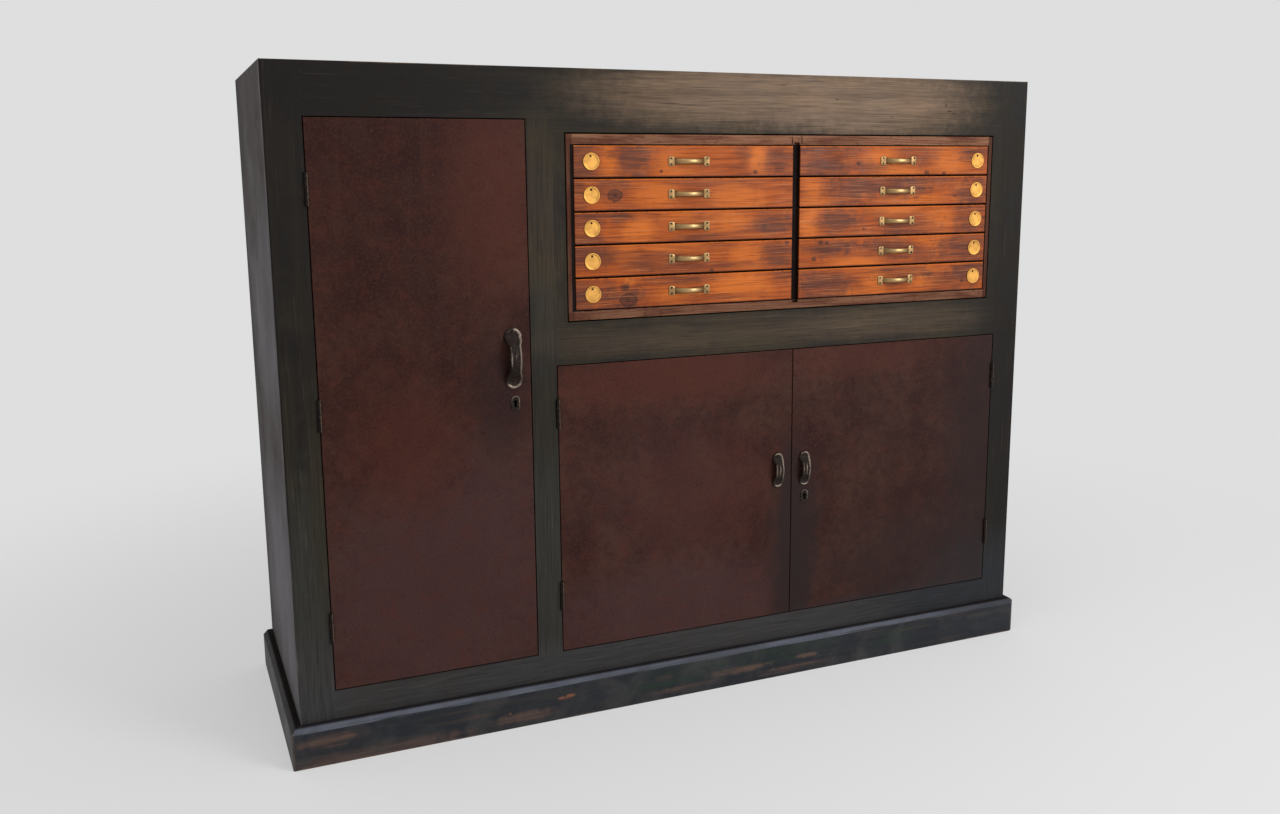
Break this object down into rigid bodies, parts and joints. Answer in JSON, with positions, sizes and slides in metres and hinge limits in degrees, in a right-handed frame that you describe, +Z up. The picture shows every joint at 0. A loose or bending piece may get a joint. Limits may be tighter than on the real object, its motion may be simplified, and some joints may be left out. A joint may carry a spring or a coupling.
{
  "type": "workshop cabinet with drawers",
  "caption": "Floor-standing painted workshop cabinet with a tall cupboard, a nest of shallow pine drawers with bow pulls, paired lower doors and a bevelled plinth.",
  "frame": {"origin": "on the floor, below the middle of the whole outline, pulls and plinth included", "axes": "+X to the right seen from the front, +Y from the front to the back, +Z up"},
  "size_m": [1.716, 0.558, 1.318],
  "materials": {
    "frame_paint": "worn near-black green satin paint over pine",
    "carcass_paint": "near-black satin paint over pine",
    "plinth_paint": "scuffed blue-black paint over pine",
    "bare_pine": "unfinished aged pine",
    "casing_pine": "dark dusty pine",
    "door_paint": "mottled oxblood paint",
    "drawer_pine": "varnished orange pine",
    "aged_brass": "aged brass",
    "blackened_casting": "blackened and worn on the high places",
    "worn_steel": "dull worn steel"
  },
  "bodies": {
    "carcass": {"left_side_panel": "carcass_paint", "right_side_panel": "carcass_paint", "top_board": "carcass_paint", "floor_board": "bare_pine", "back_boards": "bare_pine", "partition": "bare_pine", "drawer_deck": "bare_pine", "left_stile": "frame_paint", "right_stile": "frame_paint", "mid_stile": "frame_paint", "top_rail": "frame_paint", "mid_rail": "frame_paint", "bottom_rail": "frame_paint", "drawer_surround": "frame_paint", "plinth_front": "plinth_paint", "plinth_returns": "plinth_paint", "drawer_casing": "casing_pine", "drawer_runners": "casing_pine", "shelves": "bare_pine", "shelf_cleats": "bare_pine", "frame_hinge_leaves": "worn_steel", "hinge_pins": "worn_steel"},
    "tall_door": {"tall_door": "door_paint", "tall_door_pull": "blackened_casting", "tall_door_escutcheon": "blackened_casting", "tall_door_lock_case": "worn_steel", "tall_door_hinge_leaves": "worn_steel"},
    "tall_door_lock_bolt": {"tall_door_lock_bolt": "worn_steel"},
    "lower_left_door": {"lower_left_door": "door_paint", "lower_left_door_pull": "blackened_casting", "lower_left_door_hinge_leaves": "worn_steel", "lower_left_bolt_keeps": "worn_steel"},
    "lower_left_top_bolt": {"lower_left_top_bolt": "worn_steel"},
    "lower_left_bottom_bolt": {"lower_left_bottom_bolt": "worn_steel"},
    "lower_right_door": {"lower_right_door": "door_paint", "lower_right_door_pull": "blackened_casting", "lower_right_door_escutcheon": "blackened_casting", "lower_right_door_lock_case": "worn_steel", "lower_right_door_hinge_leaves": "worn_steel"},
    "lower_right_door_lock_bolt": {"lower_right_door_lock_bolt": "worn_steel"},
    "drawer_l5": {"drawer_l5": "drawer_pine", "drawer_fittings_l5": "aged_brass"},
    "drawer_l4": {"drawer_l4": "drawer_pine", "drawer_fittings_l4": "aged_brass"},
    "drawer_l3": {"drawer_l3": "drawer_pine", "drawer_fittings_l3": "aged_brass"},
    "drawer_l2": {"drawer_l2": "drawer_pine", "drawer_fittings_l2": "aged_brass"},
    "drawer_l1": {"drawer_l1": "drawer_pine", "drawer_fittings_l1": "aged_brass"},
    "drawer_r5": {"drawer_r5": "drawer_pine", "drawer_fittings_r5": "aged_brass"},
    "drawer_r4": {"drawer_r4": "drawer_pine", "drawer_fittings_r4": "aged_brass"},
    "drawer_r3": {"drawer_r3": "drawer_pine", "drawer_fittings_r3": "aged_brass"},
    "drawer_r2": {"drawer_r2": "drawer_pine", "drawer_fittings_r2": "aged_brass"},
    "drawer_r1": {"drawer_r1": "drawer_pine", "drawer_fittings_r1": "aged_brass"}
  },
  "joints": [
    {"name": "tall_door_hinge", "type": "hinge", "parent": "carcass", "child": "tall_door", "pos_m": [-0.77, -0.2545, 0.6805], "axis": [0, 0, -1], "range_deg": [0, 165]},
    {"name": "lower_left_door_hinge", "type": "hinge", "parent": "carcass", "child": "lower_left_door", "pos_m": [-0.307, -0.2545, 0.4405], "axis": [0, 0, -1], "range_deg": [0, 150]},
    {"name": "lower_right_door_hinge", "type": "hinge", "parent": "carcass", "child": "lower_right_door", "pos_m": [0.77, -0.2545, 0.4405], "axis": [0, 0, 1], "range_deg": [0, 165]},
    {"name": "drawer_l5_slide", "type": "slide", "parent": "carcass", "child": "drawer_l5", "axis": [0, -1, 0], "range_m": [0, 0.32]},
    {"name": "drawer_l4_slide", "type": "slide", "parent": "carcass", "child": "drawer_l4", "axis": [0, -1, 0], "range_m": [0, 0.32]},
    {"name": "drawer_l3_slide", "type": "slide", "parent": "carcass", "child": "drawer_l3", "axis": [0, -1, 0], "range_m": [0, 0.32]},
    {"name": "drawer_l2_slide", "type": "slide", "parent": "carcass", "child": "drawer_l2", "axis": [0, -1, 0], "range_m": [0, 0.32]},
    {"name": "drawer_l1_slide", "type": "slide", "parent": "carcass", "child": "drawer_l1", "axis": [0, -1, 0], "range_m": [0, 0.32]},
    {"name": "drawer_r5_slide", "type": "slide", "parent": "carcass", "child": "drawer_r5", "axis": [0, -1, 0], "range_m": [0, 0.32]},
    {"name": "drawer_r4_slide", "type": "slide", "parent": "carcass", "child": "drawer_r4", "axis": [0, -1, 0], "range_m": [0, 0.32]},
    {"name": "drawer_r3_slide", "type": "slide", "parent": "carcass", "child": "drawer_r3", "axis": [0, -1, 0], "range_m": [0, 0.32]},
    {"name": "drawer_r2_slide", "type": "slide", "parent": "carcass", "child": "drawer_r2", "axis": [0, -1, 0], "range_m": [0, 0.32]},
    {"name": "drawer_r1_slide", "type": "slide", "parent": "carcass", "child": "drawer_r1", "axis": [0, -1, 0], "range_m": [0, 0.32]},
    {"name": "tall_door_lock_throw", "type": "slide", "parent": "tall_door", "child": "tall_door_lock_bolt", "axis": [1, 0, 0], "range_m": [0, 0.01]},
    {"name": "lower_right_door_lock_throw", "type": "slide", "parent": "lower_right_door", "child": "lower_right_door_lock_bolt", "axis": [-1, 0, 0], "range_m": [0, 0.01]},
    {"name": "lower_left_top_bolt_slide", "type": "slide", "parent": "lower_left_door", "child": "lower_left_top_bolt", "axis": [0, 0, 1], "range_m": [0, 0.014]},
    {"name": "lower_left_bottom_bolt_slide", "type": "slide", "parent": "lower_left_door", "child": "lower_left_bottom_bolt", "axis": [0, 0, -1], "range_m": [0, 0.012]}
  ]
}
